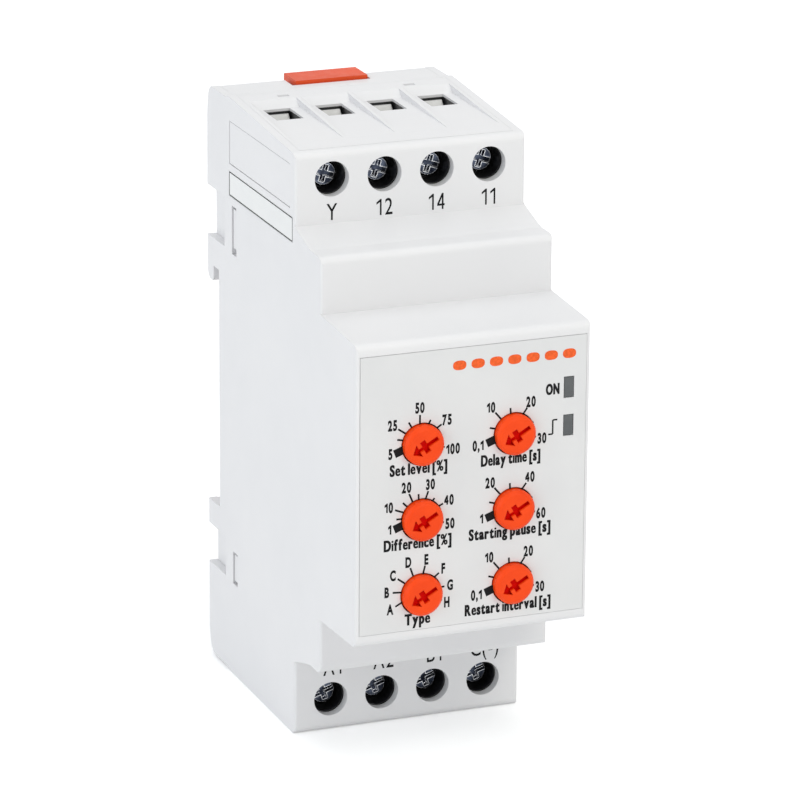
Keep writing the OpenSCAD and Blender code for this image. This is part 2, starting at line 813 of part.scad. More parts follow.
module transformer_coil() {
    color([0.85, 0.72, 0.3])
    difference() {
        union() {
            box(tx - coil_x, tx + coil_x, rd + 4.5, rd + core_h - 4.5, tz - coil_z, tz + coil_z);
            for (d = [3.5, core_h - 4.5])
                box(tx - coil_x - 0.1, tx + coil_x + 0.1, rd + d, rd + d + 1,
                    tz - coil_z - 0.4, tz + coil_z + 0.4);
        }
        box(tx - limb - 0.1, tx + limb + 0.1, rd + 3, rd + core_h - 2.9,
            tz - core_t / 2 - 0.1, tz + core_t / 2 + 0.1);
    }
}

module capacitor() {
    color([0.2, 0.25, 0.4])
    turned(rx + relay_w / 2 + cap_dia / 2 + 1.6, rz + 8.5,
        [[0, rd], [cap_dia / 2 - 0.2, rd], [cap_dia / 2, rd + 0.3], [cap_dia / 2, rd + 1.6],
         [cap_dia / 2 - 0.35, rd + 2], [cap_dia / 2, rd + 2.4], [cap_dia / 2, rd + 13.2],
         [cap_dia / 2 - 0.4, rd + 13.6], [0, rd + 13.6]], 36);
}

// slider pushed down at its tab to free the rail
module rail_clip() {
    h = clip_w / 2;
    color(orange)
    union() {
        difference() {
            union() {
                box(-h, h, upper_d, upper_front - 0.7, web_low, tab_low + 0.3);
                box(-h, -2.1, upper_d, upper_front, web_top + 8, tab_low + 0.3);
                box(2.7, 3.9, upper_d, upper_front, web_top + 8, tab_low + 0.3);
            }
            box(-h + 2.4, h - 2.4, -1, upper_front + 1, web_top + 2.5, web_top + 6);
        }
        box(-h, h + 0.2, 0, tab_front, tab_low, tab_low + tab_t);
        box(-h, h, upper_d, stem_front, web_low, web_top);
        difference() {
            union() {
                box(-h, h, stem_d, stem_front, foot_low, web_top);
                box(-flange_w / 2, flange_w / 2, stem_front - 1.1, stem_front, rail_low + 2.5,
                    zc + 12);
            }
            box(-h + 2.6, h - 2.6, stem_d - 1, stem_front + 1, rail_low + 8, rail_top - 6);
        }
        profile(-h, h,
            [[0.6, foot_low], [stem_front, foot_low], [stem_front, foot_top],
             [3.4, foot_top], [3.4, foot_top + 1.5], [3, foot_top + 1.9], [2.2, foot_top + 1.9],
             [0.6, foot_top - 1.4]]);
        translate([0, y_rear - spring_d, foot_low - 2.4])
            cylinder(h = 2.5, r = spring_r - spring_wire / 2 - 0.3, $fn = 32);
    }
}

// coil spring swept along its helix
module clip_spring() {
    n = 12;
    sides = 6;
    rw = spring_wire / 2;
    z0 = pocket_low + 0.05 + rw;
    rise = foot_low - 0.05 - rw - z0;
    count = spring_turns * n;
    pts = [for (i = [0:count]) let (a = 360 * i / n)
        for (j = [0:sides - 1]) let (b = 360 * j / sides, r = spring_r + rw * cos(b))
            [r * cos(a), r * sin(a) - spring_d + y_rear, z0 + rise * i / count + rw * sin(b)]];
    faces = concat(
        [[for (j = [0:sides - 1]) j]],
        [[for (j = [sides - 1:-1:0]) count * sides + j]],
        [for (i = [0:count - 1]) for (j = [0:sides - 1])
            let (a = i * sides + j, b = i * sides + (j + 1) % sides)
                [b, a, a + sides, b + sides]]);
    color(steel)
        polyhedron(points = pts, faces = faces, convexity = 10);
}

module upper_screw(i) {
    color(steel)
        terminal_screw(column(i));
}

module lower_screw(i) {
    color(steel)
        upside_down()
            terminal_screw(column(i));
}

module upper_cage(i) {
    color([0.8, 0.8, 0.78])
        clamp_cage(column(i));
}

module lower_cage(i) {
    color([0.8, 0.8, 0.78])
        upside_down()
            clamp_cage(column(i));
}

module contact_bars_top() {
    color(copper)
        contact_bars();
}

module contact_bars_bottom() {
    color(copper)
        upside_down()
            contact_bars();
}

housing_shell();
rear_base();
terminal_cover_top();
terminal_cover_bottom();
terminal_block_top();
terminal_block_bottom();
dial_panel();
light_guide();
side_label();
upper_screw(0);  // terminal_screw_t1
upper_screw(1);  // terminal_screw_t2
upper_screw(2);  // terminal_screw_t3
upper_screw(3);  // terminal_screw_t4
lower_screw(0);  // terminal_screw_b1
lower_screw(1);  // terminal_screw_b2
lower_screw(2);  // terminal_screw_b3
lower_screw(3);  // terminal_screw_b4
upper_cage(0);  // clamp_cage_t1
upper_cage(1);  // clamp_cage_t2
upper_cage(2);  // clamp_cage_t3
upper_cage(3);  // clamp_cage_t4
lower_cage(0);  // clamp_cage_b1
lower_cage(1);  // clamp_cage_b2
lower_cage(2);  // clamp_cage_b3
lower_cage(3);  // clamp_cage_b4
contact_bars_top();
contact_bars_bottom();
knob(0);  // knob_level
knob(1);  // knob_trip
knob(2);  // knob_hysteresis
knob(3);  // knob_inhibit
knob(4);  // knob_mode
knob(5);  // knob_reset
trimmer(0);  // trimmer_level
trimmer(1);  // trimmer_trip
trimmer(2);  // trimmer_hysteresis
trimmer(3);  // trimmer_inhibit
trimmer(4);  // trimmer_mode
trimmer(5);  // trimmer_reset
led(0);  // led_power
led(1);  // led_output
front_board();
main_board();
link_board();
relay_base();
relay_coil();
relay_yoke();
relay_armature();
relay_spring();
relay_contacts();
relay_cover();
transformer_core();
transformer_coil();
capacitor();
rail_clip();
clip_spring();
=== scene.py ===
import math

import bpy
from mathutils import Matrix, Vector


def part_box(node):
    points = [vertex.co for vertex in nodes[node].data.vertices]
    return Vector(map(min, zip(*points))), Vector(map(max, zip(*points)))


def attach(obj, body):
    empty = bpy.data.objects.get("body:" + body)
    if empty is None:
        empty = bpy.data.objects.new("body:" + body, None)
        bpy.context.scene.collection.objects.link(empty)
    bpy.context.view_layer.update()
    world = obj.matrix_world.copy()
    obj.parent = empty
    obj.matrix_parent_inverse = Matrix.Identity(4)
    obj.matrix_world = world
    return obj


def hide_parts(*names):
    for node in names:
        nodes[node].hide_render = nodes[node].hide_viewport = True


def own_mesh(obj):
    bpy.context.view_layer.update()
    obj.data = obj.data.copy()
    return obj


mm = 0.001

print("loading the packed relay")
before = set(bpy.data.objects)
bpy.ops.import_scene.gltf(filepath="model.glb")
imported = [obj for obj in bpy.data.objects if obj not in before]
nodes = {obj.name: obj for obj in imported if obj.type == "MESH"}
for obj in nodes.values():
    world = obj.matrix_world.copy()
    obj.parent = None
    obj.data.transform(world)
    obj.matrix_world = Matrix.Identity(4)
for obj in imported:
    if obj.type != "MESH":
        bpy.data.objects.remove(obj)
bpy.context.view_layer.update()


# camera fitted to the photograph: aim and distance in millimetres, angles in degrees, clips in metres
viewpoint = {
    "azimuth": -21.475,
    "elevation": 17.75,
    "roll": 0.388,
    "distance": 751.3,
    "lens": 227.8,
    "aim": (1.70, 2.20, 47.68),
    "sensor": 36,
    "clips": (0.01, 50),
}


def placeCamera(look):
    azimuth = math.radians(look["azimuth"])
    elevation = math.radians(look["elevation"])
    roll = math.radians(look["roll"])
    back = Vector((
        math.sin(azimuth) * math.cos(elevation),
        -math.cos(azimuth) * math.cos(elevation),
        math.sin(elevation)))
    level = Vector((math.cos(azimuth), math.sin(azimuth), 0))
    upright = back.cross(level)
    right = math.cos(roll) * level + math.sin(roll) * upright
    up = math.cos(roll) * upright - math.sin(roll) * level
    place = Vector(look["aim"]) * mm + back * look["distance"] * mm
    data = bpy.data.cameras.new("photoView")
    data.lens = look["lens"]
    data.sensor_width = look["sensor"]
    data.clip_start, data.clip_end = look["clips"]
    camera = bpy.data.objects.new("photoView", data)
    bpy.context.collection.objects.link(camera)
    turn = Matrix((right, up, back)).transposed().to_4x4()
    camera.matrix_world = Matrix.Translation(place) @ turn
    bpy.context.scene.camera = camera


# soft boxes aimed at the relay's middle: places and sizes in metres, power in watts; the floor's own light
# rises from floorLift to farLift over the distances of liftRise
studio = {
    "sky": 0.62, "skyTint": (0.97, 0.985, 1.0), "aim": (0, 0, 0.045),
    "boxes": {
        "keyBox": {"place": (0.35, -1.05, 1.15), "size": 0.9, "power": 6.4, "tint": (1.0, 0.972, 0.875)},
        "sideBox": {"place": (-1.25, -0.35, 0.55), "size": 0.9, "power": 4.9, "tint": (0.92, 0.96, 1.0)},
        "topBox": {"place": (0.0, 0.25, 1.4), "size": 1.0, "power": 4.0, "tint": (0.97, 0.985, 1.0)},
        "lowBox": {"place": (0.10, -1.30, 0.22), "size": 0.4, "power": 0.75, "tint": (1.0, 0.98, 0.91)},
    },
    "floor": (0.93, 0.935, 0.94), "floorRough": 0.9, "floorGloss": 0.1, "floorReach": 6.0,
    "floorLift": 0.25, "farLift": 0.75, "liftRise": (0.3, 1.5),
}


def softBox(name, box, target):
    data = bpy.data.lights.new(name, "AREA")
    data.shape = "SQUARE"
    data.size = box["size"]
    data.energy = box["power"]
    data.color = box["tint"]
    lamp = bpy.data.objects.new(name, data)
    bpy.context.collection.objects.link(lamp)
    place = Vector(box["place"])
    lamp.location = place
    lamp.rotation_euler = (Vector(target) - place).to_track_quat("-Z", "Y").to_euler()


def whiteToEye(tree, lit, plain):
    # the camera, metal and glass see plain white where the surroundings only light the relay
    path = tree.nodes.new("ShaderNodeLightPath")
    seen = path.outputs["Is Camera Ray"]
    for ray in ("Is Glossy Ray", "Is Transmission Ray"):
        either = tree.nodes.new("ShaderNodeMath")
        either.operation = "MAXIMUM"
        tree.links.new(seen, either.inputs[0])
        tree.links.new(path.outputs[ray], either.inputs[1])
        seen = either.outputs[0]
    mix = tree.nodes.new("ShaderNodeMixShader")
    tree.links.new(seen, mix.inputs[0])
    tree.links.new(lit, mix.inputs[1])
    tree.links.new(plain, mix.inputs[2])
    return mix.outputs[0]


def paperFloor(setup):
    # matt paper that keeps the shadow, lifted to white for the eye, more so far from the relay
    paper = bpy.data.materials.new("floorPaper")
    paper.use_nodes = True
    tree = paper.node_tree
    shader = tree.nodes["Principled BSDF"]
    shader.inputs["Base Color"].default_value = (*setup["floor"], 1)
    shader.inputs["Roughness"].default_value = setup["floorRough"]
    shader.inputs["Specular IOR Level"].default_value = setup["floorGloss"]
    place = tree.nodes.new("ShaderNodeTexCoord")
    away = tree.nodes.new("ShaderNodeVectorMath")
    away.operation = "LENGTH"
    tree.links.new(place.outputs["Object"], away.inputs[0])
    rise = tree.nodes.new("ShaderNodeMapRange")
    rise.inputs["From Min"].default_value, rise.inputs["From Max"].default_value = setup["liftRise"]
    rise.inputs["To Min"].default_value = setup["floorLift"]
    rise.inputs["To Max"].default_value = setup["farLift"]
    tree.links.new(away.outputs["Value"], rise.inputs["Value"])
    lift = tree.nodes.new("ShaderNodeEmission")
    lift.inputs["Color"].default_value = (1, 1, 1, 1)
    tree.links.new(rise.outputs["Result"], lift.inputs["Strength"])
    lifted = tree.nodes.new("ShaderNodeAddShader")
    tree.links.new(shader.outputs[0], lifted.inputs[0])
    tree.links.new(lift.outputs[0], lifted.inputs[1])
    tree.links.new(whiteToEye(tree, shader.outputs[0], lifted.outputs[0]),
                   tree.nodes["Material Output"].inputs["Surface"])
    return paper


def lightStudio(setup):
    world = bpy.data.worlds.new("studioSky")
    bpy.context.scene.world = world
    world.use_nodes = True
    tree = world.node_tree
    tree.nodes.clear()
    lit = tree.nodes.new("ShaderNodeBackground")
    lit.inputs["Color"].default_value = (*setup["skyTint"], 1)
    lit.inputs["Strength"].default_value = setup["sky"]
    plain = tree.nodes.new("ShaderNodeBackground")
    plain.inputs["Color"].default_value = (1, 1, 1, 1)
    plain.inputs["Strength"].default_value = 1
    out = tree.nodes.new("ShaderNodeOutputWorld")
    tree.links.new(whiteToEye(tree, lit.outputs[0], plain.outputs[0]), out.inputs["Surface"])
    for name, box in setup["boxes"].items():
        softBox(name, box, setup["aim"])
    mesh = bpy.data.meshes.new("studioFloor")
    reach = setup["floorReach"]
    mesh.from_pydata([(-reach, -reach, 0), (reach, -reach, 0), (reach, reach, 0), (-reach, reach, 0)],
                     [], [(0, 1, 2, 3)])
    floor = bpy.data.objects.new("studioFloor", mesh)
    bpy.context.collection.objects.link(floor)
    mesh.materials.append(paperFloor(setup))


print("camera and studio")
placeCamera(viewpoint)
lightStudio(studio)
bpy.context.scene.view_settings.view_transform = "Standard"


# finishes: patch, grain and streak sizes are noise scales in the relay's own space, depth and edge are in
# millimetres

fadeTone = (0.35, 0.65)  # the part of a noise over which one tone fades into the other
fadeRough = (0.3, 0.7)  # and the same for the roughness
toneDetail = 3.0
grainDetail = 4.0
streakDetail = 5.0
edgeSamples = 4
glintSamples = 8
fadeGlint = (0.985, 0.88)  # cosine of the angle between true and bevelled normal, from flat to the painted glint
roughFiner = 6  # how much finer the roughness varies than the tone


def startMaterial(name):
    material = bpy.data.materials.new(name)
    material.use_nodes = True
    tree = material.node_tree
    shader = tree.nodes["Principled BSDF"]
    place = tree.nodes.new("ShaderNodeTexCoord")
    return material, tree, shader, place.outputs["Object"]


def noise(tree, place, scale, detail=2.0):
    node = tree.nodes.new("ShaderNodeTexNoise")
    node.inputs["Scale"].default_value = scale
    node.inputs["Detail"].default_value = detail
    tree.links.new(place, node.inputs["Vector"])
    return node.outputs["Fac"]


def blendColors(tree, factor, first, second):
    ramp = tree.nodes.new("ShaderNodeValToRGB")
    for element, position, color in zip(ramp.color_ramp.elements, fadeTone, (first, second)):
        element.position = position
        element.color = (*color, 1)
    tree.links.new(factor, ramp.inputs["Fac"])
    return ramp.outputs["Color"]


def spread(tree, factor, low, high):
    node = tree.nodes.new("ShaderNodeMapRange")
    node.inputs["From Min"].default_value, node.inputs["From Max"].default_value = fadeRough
    node.inputs["To Min"].default_value = low
    node.inputs["To Max"].default_value = high
    tree.links.new(factor, node.inputs["Value"])
    return node.outputs["Result"]


def softEdges(tree, radius):
    edge = tree.nodes.new("ShaderNodeBevel")
    edge.samples = edgeSamples
    edge.inputs["Radius"].default_value = radius * mm
    return edge.outputs["Normal"]


def bump(tree, height, depth, shader, under=None):
    node = tree.nodes.new("ShaderNodeBump")
    node.inputs["Strength"].default_value = 1
    node.inputs["Distance"].default_value = depth * mm
    tree.links.new(height, node.inputs["Height"])
    if under is not None:
        tree.links.new(under, node.inputs["Normal"])
    tree.links.new(node.outputs["Normal"], shader.inputs["Normal"])


def mouldedPlastic(name, look):
    # spark-eroded mould grain over a slightly uneven colour
    material, tree, shader, place = startMaterial(name)
    tone = noise(tree, place, look["patch"], toneDetail)
    tree.links.new(blendColors(tree, tone, look["color"], look["shade"]), shader.inputs["Base Color"])
    tree.links.new(spread(tree, noise(tree, place, look["patch"] * roughFiner), *look["rough"]),
                   shader.inputs["Roughness"])
    shader.inputs["Specular IOR Level"].default_value = look["gloss"]
    bump(tree, noise(tree, place, look["grain"], grainDetail), look["depth"], shader,
         softEdges(tree, look["edge"]))
    return material


def edgeMask(tree, radius):
    # one where the bevelled normal leaves the true one, nothing on flat ground
    bevel = tree.nodes.new("ShaderNodeBevel")
    bevel.samples = glintSamples
    bevel.inputs["Radius"].default_value = radius * mm
    ground = tree.nodes.new("ShaderNodeNewGeometry")
    meet = tree.nodes.new("ShaderNodeVectorMath")
    meet.operation = "DOT_PRODUCT"
    tree.links.new(bevel.outputs["Normal"], meet.inputs[0])
    tree.links.new(ground.outputs["True Normal"], meet.inputs[1])
    mask = tree.nodes.new("ShaderNodeMapRange")
    mask.inputs["From Min"].default_value, mask.inputs["From Max"].default_value = fadeGlint
    tree.links.new(meet.outputs["Value"], mask.inputs["Value"])
    return mask.outputs["Result"]


def glintEdges(tree, base, look, shader):
    # painted glints: a brighter, slightly less metallic colour along sharp edges stands in for highlights
    mask = edgeMask(tree, look["glintWidth"])
    # painted highlight: the glint colour is mixed in along the edges
    mix = tree.nodes.new("ShaderNodeMix")
    mix.data_type = "RGBA"
    tree.links.new(mask, mix.inputs["Factor"])
    tree.links.new(base, mix.inputs["A"])
    mix.inputs["B"].default_value = (*look["bright"], 1)
    tree.links.new(mix.outputs["Result"], shader.inputs["Base Color"])
    sheen = tree.nodes.new("ShaderNodeMapRange")
    sheen.inputs["To Min"].default_value = 1
    sheen.inputs["To Max"].default_value = look["glintMetal"]
    tree.links.new(mask, sheen.inputs["Value"])
    tree.links.new(sheen.outputs["Result"], shader.inputs["Metallic"])


def platedMetal(name, look):
    # rolled or turned metal: streaks along one axis, thin plating patches
    material, tree, shader, place = startMaterial(name)
    stretch = tree.nodes.new("ShaderNodeMapping")
    stretch.inputs["Scale"].default_value = look["streak"]
    tree.links.new(place, stretch.inputs["Vector"])
    streaks = noise(tree, stretch.outputs["Vector"], look["grain"], streakDetail)
    patches = noise(tree, place, look["patch"], toneDetail)
    base = blendColors(tree, patches, look["color"], look["shade"])
    shader.inputs["Metallic"].default_value = look.get("metal", 1.0)
    # painted glints along the sharp edges where the look asks for them
    if "glintWidth" in look:
        glintEdges(tree, base, look, shader)
    else:
        tree.links.new(base, shader.inputs["Base Color"])
    tree.links.new(spread(tree, streaks, *look["rough"]), shader.inputs["Roughness"])
    bump(tree, streaks, look["depth"], shader, softEdges(tree, look["edge"]))
    return material


housingLook = {
    "color": (0.782, 0.780, 0.790), "shade": (0.762, 0.762, 0.774), "patch": 45,
    "rough": (0.40, 0.48), "gloss": 0.42, "grain": 5200, "depth": 0.010, "edge": 0.07,
}
carrierLook = {
    "color": (0.010, 0.010, 0.011), "shade": (0.016, 0.016, 0.018), "patch": 300,
    "rough": (0.30, 0.42), "gloss": 0.5, "grain": 4200, "depth": 0.012, "edge": 0.10,
}
clipLook = {
    "color": (0.780, 0.080, 0.012), "shade": (0.700, 0.066, 0.009), "patch": 160,
    "rough": (0.40, 0.50), "gloss": 0.30, "grain": 4600, "depth": 0.012, "edge": 0.12,
}
trimmerLook = {
    "color": (0.020, 0.055, 0.19), "shade": (0.028, 0.068, 0.22), "patch": 260,
    "rough": (0.35, 0.45), "gloss": 0.5, "grain": 3600, "depth": 0.010, "edge": 0.10,
}
relayBlackLook = {
    "color": (0.022, 0.022, 0.025), "shade": (0.030, 0.030, 0.033), "patch": 220,
    "rough": (0.40, 0.50), "gloss": 0.45, "grain": 3600, "depth": 0.010, "edge": 0.10,
}
canLook = {
    "color": (0.018, 0.030, 0.085), "shade": (0.024, 0.038, 0.100), "patch": 180,
    "rough": (0.22, 0.30), "gloss": 0.5, "grain": 2500, "depth": 0.006, "edge": 0.15,
}
# the edge keys give the painted glints along the screws' edges: how wide they are, their colour there
# ("bright") and how metallic they are
screwLook = {
    "color": (0.085, 0.100, 0.140), "shade": (0.016, 0.019, 0.030), "patch": 760,
    "rough": (0.12, 0.22), "streak": (1, 1, 3), "grain": 900, "depth": 0.030, "edge": 0.07,
    "glintWidth": 0.30, "bright": (0.97, 0.98, 1.0), "glintMetal": 0.9,
}
cageLook = {
    "color": (0.62, 0.62, 0.61), "shade": (0.54, 0.54, 0.53), "patch": 380, "metal": 0.3,
    "rough": (0.34, 0.46), "streak": (1, 5, 1), "grain": 1200, "depth": 0.006, "edge": 0.20,
}
copperLook = {
    "color": (0.80, 0.55, 0.36), "shade": (0.70, 0.44, 0.27), "patch": 300,
    "rough": (0.25, 0.38), "streak": (5, 1, 1), "grain": 1200, "depth": 0.008, "edge": 0.10,
}
ironLook = {
    "color": (0.42, 0.42, 0.44), "shade": (0.34, 0.34, 0.36), "patch": 260,
    "rough": (0.32, 0.48), "streak": (1, 8, 1), "grain": 900, "depth": 0.020, "edge": 0.08,
}
springLook = {
    "color": (0.46, 0.47, 0.50), "shade": (0.38, 0.39, 0.43), "patch": 500,
    "rough": (0.22, 0.34), "streak": (1, 1, 4), "grain": 2200, "depth": 0.006, "edge": 0.05,
}

# satin knob: what lies deeper than "cut" and nearer the axis than "reach" is the pointer recess, painted a
# deep red as shade
knobLook = {
    "color": (0.940, 0.070, 0.004), "shade": (0.890, 0.060, 0.003), "patch": 300,
    "recess": (0.74, 0.003, 0.001), "cut": 0.35, "reach": 2.35,
    "rough": (0.40, 0.50), "roughPatch": 900, "gloss": 0.20, "dull": 0.04,
    "grain": 4200, "depth": 0.010, "edge": 0.16,
}


def knobMaterial(name, look, face, axis):
    # face and axis are metres in the relay's own space; the recess is painted a darker red as shade and is
    # duller than the rest
    material, tree, shader, place = startMaterial(name)
    tone = blendColors(tree, noise(tree, place, look["patch"], toneDetail), look["color"], look["shade"])
    split = tree.nodes.new("ShaderNodeSeparateXYZ")
    tree.links.new(place, split.inputs["Vector"])
    behind = tree.nodes.new("ShaderNodeMath")
    behind.operation = "GREATER_THAN"
    behind.inputs[1].default_value = face + look["cut"] * mm
    tree.links.new(split.outputs["Y"], behind.inputs[0])
    away = tree.nodes.new("ShaderNodeVectorMath")
    away.operation = "DISTANCE"
    away.inputs[1].default_value = (axis[0], 0, axis[1])
    flat = tree.nodes.new("ShaderNodeCombineXYZ")
    tree.links.new(split.outputs["X"], flat.inputs["X"])
    tree.links.new(split.outputs["Z"], flat.inputs["Z"])
    tree.links.new(flat.outputs["Vector"], away.inputs[0])
    near = tree.nodes.new("ShaderNodeMath")
    near.operation = "LESS_THAN"
    near.inputs[1].default_value = look["reach"] * mm
    tree.links.new(away.outputs["Value"], near.inputs[0])
    both = tree.nodes.new("ShaderNodeMath")
    both.operation = "MULTIPLY"
    tree.links.new(behind.outputs[0], both.inputs[0])
    tree.links.new(near.outputs[0], both.inputs[1])
    # painted shade: the recess gets the darker red
    mix = tree.nodes.new("ShaderNodeMix")
    mix.data_type = "RGBA"
    tree.links.new(both.outputs[0], mix.inputs["Factor"])
    tree.links.new(tone, mix.inputs["A"])
    mix.inputs["B"].default_value = (*look["recess"], 1)
    tree.links.new(mix.outputs["Result"], shader.inputs["Base Color"])
    tree.links.new(spread(tree, noise(tree, place, look["roughPatch"]), *look["rough"]),
                   shader.inputs["Roughness"])
    shine = tree.nodes.new("ShaderNodeMapRange")
    shine.inputs["To Min"].default_value = look["gloss"]
    shine.inputs["To Max"].default_value = look["dull"]
    tree.links.new(both.outputs[0], shine.inputs["Value"])
    tree.links.new(shine.outputs["Result"], shader.inputs["Specular IOR Level"])
    bump(tree, noise(tree, place, look["grain"], grainDetail), look["depth"], shader,
         softEdges(tree, look["edge"]))
    return material


panelLook = {
    "color": (0.738, 0.741, 0.745), "shade": (0.706, 0.711, 0.718), "patch": 90,
    "rough": (0.46, 0.56), "gloss": 0.38, "grain": 9000, "depth": 0.006, "edge": 0.05,
}
labelLook = {
    "color": (0.815, 0.822, 0.818), "shade": (0.790, 0.799, 0.798), "patch": 120,
    "rough": (0.38, 0.48), "gloss": 0.45, "grain": 8000, "depth": 0.004, "edge": 0.03,
}
guideLook = {
    "color": (0.068, 0.075, 0.080), "shade": (0.082, 0.089, 0.093), "patch": 500,
    "rough": 0.16, "coat": 0.3, "grain": 1200, "depth": 0.004, "edge": 0.10,
}
boardLook = {
    "mask": (0.012, 0.085, 0.040), "track": (0.022, 0.130, 0.062), "grid": 420,
    "rough": (0.25, 0.40), "patch": 800, "depth": 0.030,
}
windingLook = {
    "color": (0.40, 0.12, 0.035), "shade": (0.26, 0.07, 0.020), "pitch": 0.691, "wander": 0.4,
    "rough": 0.3, "coat": 0.5, "depth": 0.10,
}
caseLook = {
    "color": (0.60, 0.66, 0.72), "haze": 0.93, "patch": 260,
    "rough": 0.25, "coat": 0.4, "depth": 0.010, "edge": 0.20,
}
lampLook = {**caseLook, "color": (0.74, 0.73, 0.62), "rough": 0.18}
waveLength = 2 * math.pi / 20  # metres between two bands of a wave texture at scale one


def smokedGuide(name, look):
    material, tree, shader, place = startMaterial(name)
    tone = blendColors(tree, noise(tree, place, look["patch"]), look["color"], look["shade"])
    tree.links.new(tone, shader.inputs["Base Color"])
    shader.inputs["Roughness"].default_value = look["rough"]
    shader.inputs["Coat Weight"].default_value = look["coat"]
    bump(tree, noise(tree, place, look["grain"]), look["depth"], shader, softEdges(tree, look["edge"]))
    return material


def circuitBoard(name, look):
    # solder mask over raised tracks, as a stepped grid of patches
    material, tree, shader, place = startMaterial(name)
    tracks = tree.nodes.new("ShaderNodeTexVoronoi")
    tracks.distance = "CHEBYCHEV"
    tracks.inputs["Scale"].default_value = look["grid"]
    tree.links.new(place, tracks.inputs["Vector"])
    tree.links.new(blendColors(tree, tracks.outputs["Distance"], look["mask"], look["track"]),
                   shader.inputs["Base Color"])
    tree.links.new(spread(tree, noise(tree, place, look["patch"]), *look["rough"]),
                   shader.inputs["Roughness"])
    bump(tree, tracks.outputs["Distance"], look["depth"], shader)
    return material


def woundWire(name, look):
    # turns of enamelled wire, one above the other, with the grooves between turns painted darker as shade
    material, tree, shader, place = startMaterial(name)
    turns = tree.nodes.new("ShaderNodeTexWave")
    turns.bands_direction = "Z"
    turns.inputs["Scale"].default_value = waveLength / (look["pitch"] * mm)
    turns.inputs["Distortion"].default_value = look["wander"]
    tree.links.new(place, turns.inputs["Vector"])
    # painted shade: the low parts of the wave, the grooves, take the darker colour
    tree.links.new(blendColors(tree, turns.outputs["Fac"], look["shade"], look["color"]),
                   shader.inputs["Base Color"])
    shader.inputs["Roughness"].default_value = look["rough"]
    shader.inputs["Coat Weight"].default_value = look["coat"]
    bump(tree, turns.outputs["Fac"], look["depth"], shader)
    return material


def clearCase(name, look):
    material, tree, shader, place = startMaterial(name)
    haze = noise(tree, place, look["patch"], toneDetail)
    hazy = tuple(c * look["haze"] for c in look["color"])
    tree.links.new(blendColors(tree, haze, look["color"], hazy), shader.inputs["Base Color"])
    shader.inputs["Roughness"].default_value = look["rough"]
    shader.inputs["Coat Weight"].default_value = look["coat"]
    bump(tree, haze, look["depth"], shader, softEdges(tree, look["edge"]))
    return material


def finishNode(name, material):
    for slot in nodes[name].material_slots:
        slot.material = material


def finishFamily(prefixes, material):
    for name in nodes:
        if name.startswith(prefixes):
            finishNode(name, material)


print("finishes on the moulded and metal parts")
finishFamily(("housing_shell", "rear_base", "terminal_cover"), mouldedPlastic("whiteMoulding", housingLook))
finishFamily(("terminal_block",), mouldedPlastic("blackCarrier", carrierLook))
finishFamily(("terminal_screw",), platedMetal("bluedZincScrew", screwLook))
finishFamily(("clamp_cage",), platedMetal("brightCage", cageLook))
finishFamily(("contact_bars", "relay_spring", "relay_contacts"), platedMetal("contactCopper", copperLook))
finishFamily(("dial_panel",), mouldedPlastic("mattPanelFilm", panelLook))
finishFamily(("side_label",), mouldedPlastic("satinLabelFoil", labelLook))
finishFamily(("light_guide",), smokedGuide("smokedGuide", guideLook))
finishFamily(("trimmer_",), mouldedPlastic("trimmerBlue", trimmerLook))
finishFamily(("led_",), clearCase("lampResin", lampLook))
finishFamily(("front_board", "main_board", "link_board"), circuitBoard("solderMask", boardLook))
finishFamily(("relay_base",), mouldedPlastic("relayBlack", relayBlackLook))
finishFamily(("relay_coil", "transformer_coil"), woundWire("woundCopper", windingLook))
finishFamily(("relay_yoke", "relay_armature", "transformer_core"), platedMetal("softIron", ironLook))
finishFamily(("relay_cover",), clearCase("relayCase", caseLook))
finishFamily(("capacitor",), mouldedPlastic("canSleeve", canLook))
finishFamily(("rail_clip",), mouldedPlastic("orangeClip", clipLook))
finishFamily(("clip_spring",), platedMetal("springWire", springLook))


def knobCentre(name):
    low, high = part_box(name)
    return (low.x + high.x) / 2, (low.z + high.z) / 2


for knobName in [n for n in nodes if n.startswith("knob_")]:
    low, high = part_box(knobName)
    finishNode(knobName, knobMaterial("satinOrange_" + knobName, knobLook, low.y, knobCentre(knobName)))


def shorteningSpring():
    source = nodes["clip_spring"]
    mesh = source.data.copy()
    mesh.transform(source.matrix_world)
    for face in mesh.polygons:
        face.use_smooth = True
    coil = bpy.data.objects.new("clipSpring", mesh)
    bpy.context.collection.objects.link(coil)
    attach(coil, "housing")
    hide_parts("clip_spring")
    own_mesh(coil)


shorteningSpring()


# printing: flat shapes in millimetres, drawn across and up the face that they lie on

print("printing the dial panel and the terminal numbers")
inkLook = {
    "black": (0.006, 0.006, 0.007), "orange": (0.76, 0.112, 0.026), "thin": 1.25, "patch": 2600,
    "rough": 0.5, "gloss": 0.12, "grain": 7000, "grainDetail": 3.0, "depth": 0.003,
}


def inkMaterial(name, color, look):
    # an even ink, a little lighter where it lies thin
    material, tree, shader, place = startMaterial(name)
    thin = tuple(c * look["thin"] for c in color)
    tree.links.new(blendColors(tree, noise(tree, place, look["patch"]), color, thin),
                   shader.inputs["Base Color"])
    shader.inputs["Roughness"].default_value = look["rough"]
    shader.inputs["Specular IOR Level"].default_value = look["gloss"]
    bump(tree, noise(tree, place, look["grain"], look["grainDetail"]), look["depth"], shader)
    return material


blackInk = inkMaterial("blackInk", inkLook["black"], inkLook)
orangeInk = inkMaterial("orangeInk", inkLook["orange"], inkLook)

letterSpace = {"gap": 0.15, "blank": 0.34}  # in capital heights
letterSteps = 5  # how finely a letter's curves are divided
thinLetters = {"e": 0.62, "i": 0.45, "%": 0.30}  # letters whose small gaps stand less weight
letterCase = {}  # the letters made so far, by letter and weight


